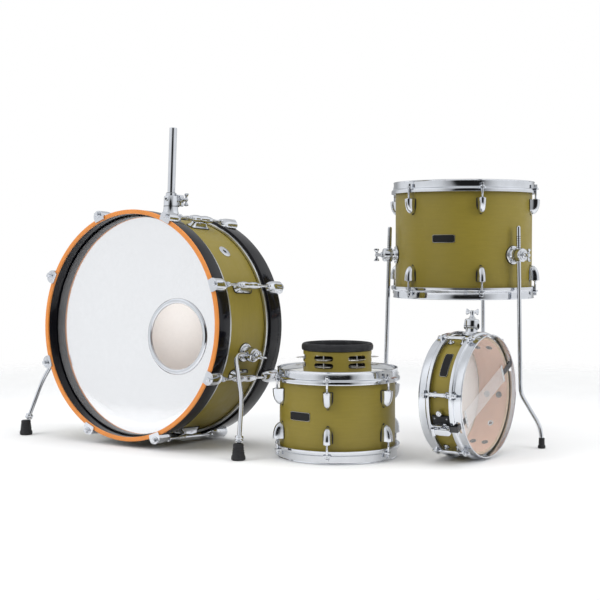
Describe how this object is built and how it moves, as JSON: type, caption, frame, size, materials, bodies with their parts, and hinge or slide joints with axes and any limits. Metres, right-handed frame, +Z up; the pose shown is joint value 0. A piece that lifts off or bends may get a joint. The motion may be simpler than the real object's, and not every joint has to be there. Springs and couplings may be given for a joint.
{
  "type": "acoustic drum kit",
  "caption": "Compact drum kit laid out for show: shallow bass drum on two spurs, floor tom on three legs, rack tom with a jingle drum on it, and a thin snare drum on its edge.",
  "frame": {"origin": "on the floor, under the middle of the kit's bounding box", "axes": "+X to the right along the row of drums, +Y to the back, +Z up; the bass drum's front looks 34.7 degrees to the left of -Y"},
  "size_m": [1.2578, 0.7224, 0.7427],
  "materials": {
    "olive_lacquered_wood": "satin olive lacquer over wood",
    "chrome": "bright chrome plate",
    "black_lacquer": "high gloss black lacquer over wood",
    "orange_lacquer": "gloss orange lacquer",
    "white_film": "smooth white polyester film",
    "clear_film": "clear polyester film",
    "black_rubber": "matt moulded rubber",
    "wire_steel": "coiled snare wire"
  },
  "bodies": {
    "bass_drum": {"bass_drum_shell": "olive_lacquered_wood", "bass_drum_front_head": "white_film", "bass_drum_batter_head": "white_film", "bass_drum_port_ring": "chrome", "bass_drum_front_hoop": "black_lacquer", "bass_drum_front_hoop_inlay": "orange_lacquer", "bass_drum_rear_hoop": "black_lacquer", "bass_drum_tension_set_1": "chrome", "bass_drum_tension_set_2": "chrome", "bass_drum_tension_set_3": "chrome", "bass_drum_tension_set_4": "chrome", "bass_drum_tension_set_5": "chrome", "bass_drum_tension_set_6": "chrome", "bass_drum_tension_set_7": "chrome", "bass_drum_tension_set_8": "chrome", "tom_holder": "chrome", "spur_bracket_left": "chrome", "spur_bracket_right": "chrome"},
    "floor_tom": {"floor_tom_shell": "olive_lacquered_wood", "floor_tom_batter_head": "white_film", "floor_tom_resonant_head": "clear_film", "floor_tom_top_rim": "chrome", "floor_tom_bottom_rim": "chrome", "floor_tom_leg_bracket_1": "chrome", "floor_tom_leg_bracket_2": "chrome", "floor_tom_leg_bracket_3": "chrome"},
    "rack_tom": {"rack_tom_shell": "olive_lacquered_wood", "rack_tom_batter_head": "white_film", "rack_tom_resonant_head": "clear_film", "rack_tom_top_rim": "chrome", "rack_tom_bottom_rim": "chrome", "rack_tom_bracket": "chrome"},
    "snare_drum": {"snare_shell": "olive_lacquered_wood", "snare_resonant_head": "clear_film", "snare_batter_head": "white_film", "snare_resonant_rim": "chrome", "snare_batter_rim": "chrome", "snare_wires": "wire_steel", "snare_throw_off": "chrome", "snare_butt_plate": "chrome", "snare_bracket": "chrome"},
    "jingle_drum": {"jingle_drum_shell": "olive_lacquered_wood", "jingle_drum_head": "black_rubber"},
    "tom_post": {"tom_post": "chrome"},
    "spur_left": {"spur_leg_left": "chrome", "spur_foot_left": "black_rubber"},
    "spur_right": {"spur_leg_right": "chrome", "spur_foot_right": "black_rubber"},
    "throw_off_lever": {"snare_throw_off_lever": "chrome"},
    "floor_tom_leg_1": {"floor_tom_leg_1": "chrome"},
    "floor_tom_leg_2": {"floor_tom_leg_2": "chrome"},
    "floor_tom_leg_3": {"floor_tom_leg_3": "chrome"},
    "tom_holder_wing": {"tom_holder_wing_bolt": "chrome"},
    "spur_wing_left": {"spur_wing_bolt_left": "chrome"},
    "spur_wing_right": {"spur_wing_bolt_right": "chrome"},
    "rack_tom_wing": {"rack_tom_wing_bolt": "chrome"},
    "snare_wing": {"snare_wing_bolt": "chrome"},
    "floor_tom_wing_1": {"floor_tom_wing_bolt_1": "chrome"},
    "floor_tom_wing_2": {"floor_tom_wing_bolt_2": "chrome"},
    "floor_tom_wing_3": {"floor_tom_wing_bolt_3": "chrome"}
  },
  "joints": [
    {"name": "floor_tom_lift", "type": "slide", "parent": "bass_drum", "child": "floor_tom", "axis": [0, 0, 1], "range_m": [0, 0.3]},
    {"name": "rack_tom_lift", "type": "slide", "parent": "bass_drum", "child": "rack_tom", "axis": [0, 0, 1], "range_m": [0, 0.3]},
    {"name": "snare_drum_lift", "type": "slide", "parent": "bass_drum", "child": "snare_drum", "axis": [0, 0, 1], "range_m": [0, 0.3]},
    {"name": "jingle_drum_lift", "type": "slide", "parent": "rack_tom", "child": "jingle_drum", "axis": [0, 0, 1], "range_m": [0, 0.2]},
    {"name": "tom_post_slide", "type": "slide", "parent": "bass_drum", "child": "tom_post", "axis": [0.0308, 0.0445, 0.9985], "range_m": [-0.12, 0.04]},
    {"name": "spur_fold_left", "type": "hinge", "parent": "bass_drum", "child": "spur_left", "pos_m": [-0.49243, 0.18755, 0.21663], "axis": [0.5684, 0.8209, -0.0541], "range_deg": [-10, 100]},
    {"name": "spur_fold_right", "type": "hinge", "parent": "bass_drum", "child": "spur_right", "pos_m": [-0.05544, -0.11504, 0.21663], "axis": [-0.5684, -0.8209, 0.0541], "range_deg": [-10, 100]},
    {"name": "floor_tom_leg_slide_1", "type": "slide", "parent": "floor_tom", "child": "floor_tom_leg_1", "axis": [-0.0155, 0.0208, 0.9997], "range_m": [-0.04, 0.08]},
    {"name": "floor_tom_leg_slide_2", "type": "slide", "parent": "floor_tom", "child": "floor_tom_leg_2", "axis": [-0.0103, -0.0238, 0.9997], "range_m": [-0.04, 0.08]},
    {"name": "floor_tom_leg_slide_3", "type": "slide", "parent": "floor_tom", "child": "floor_tom_leg_3", "axis": [0.0258, 0.003, 0.9997], "range_m": [-0.04, 0.08]},
    {"name": "tom_holder_wing_turn", "type": "hinge", "parent": "bass_drum", "child": "tom_holder_wing", "pos_m": [-0.2192, 0.08017, 0.57103], "axis": [0.8221, -0.5693, 0], "continuous": true},
    {"name": "spur_wing_left_turn", "type": "hinge", "parent": "bass_drum", "child": "spur_wing_left", "pos_m": [-0.51555, 0.20317, 0.21081], "axis": [-0.8111, 0.5482, -0.2042], "continuous": true},
    {"name": "spur_wing_right_turn", "type": "hinge", "parent": "bass_drum", "child": "spur_wing_right", "pos_m": [-0.03268, -0.13118, 0.21081], "axis": [0.7985, -0.5663, -0.2042], "continuous": true},
    {"name": "rack_tom_wing_turn", "type": "hinge", "parent": "rack_tom", "child": "rack_tom_wing", "pos_m": [0.25645, -0.04391, 0.0975], "axis": [0.6521, 0.7581, 0], "continuous": true},
    {"name": "snare_wing_turn", "type": "hinge", "parent": "snare_drum", "child": "snare_wing", "pos_m": [0.43099, -0.20878, 0.30685], "axis": [0.0495, 0.0717, 0.9962], "continuous": true},
    {"name": "floor_tom_wing_1_turn", "type": "hinge", "parent": "floor_tom", "child": "floor_tom_wing_1", "pos_m": [0.57412, -0.0467, 0.439], "axis": [0.5962, -0.8028, 0], "continuous": true},
    {"name": "floor_tom_wing_2_turn", "type": "hinge", "parent": "floor_tom", "child": "floor_tom_wing_2", "pos_m": [0.53377, 0.30204, 0.439], "axis": [0.3971, 0.9178, 0], "continuous": true},
    {"name": "floor_tom_wing_3_turn", "type": "hinge", "parent": "floor_tom", "child": "floor_tom_wing_3", "pos_m": [0.25193, 0.09273, 0.439], "axis": [-0.9934, -0.1149, 0], "continuous": true},
    {"name": "throw_off_lever_swing", "type": "hinge", "parent": "snare_drum", "child": "throw_off_lever", "pos_m": [0.33411, -0.32984, 0.07229], "axis": [0.24, 0.3479, -0.9063], "range_deg": [0, 90]}
  ]
}
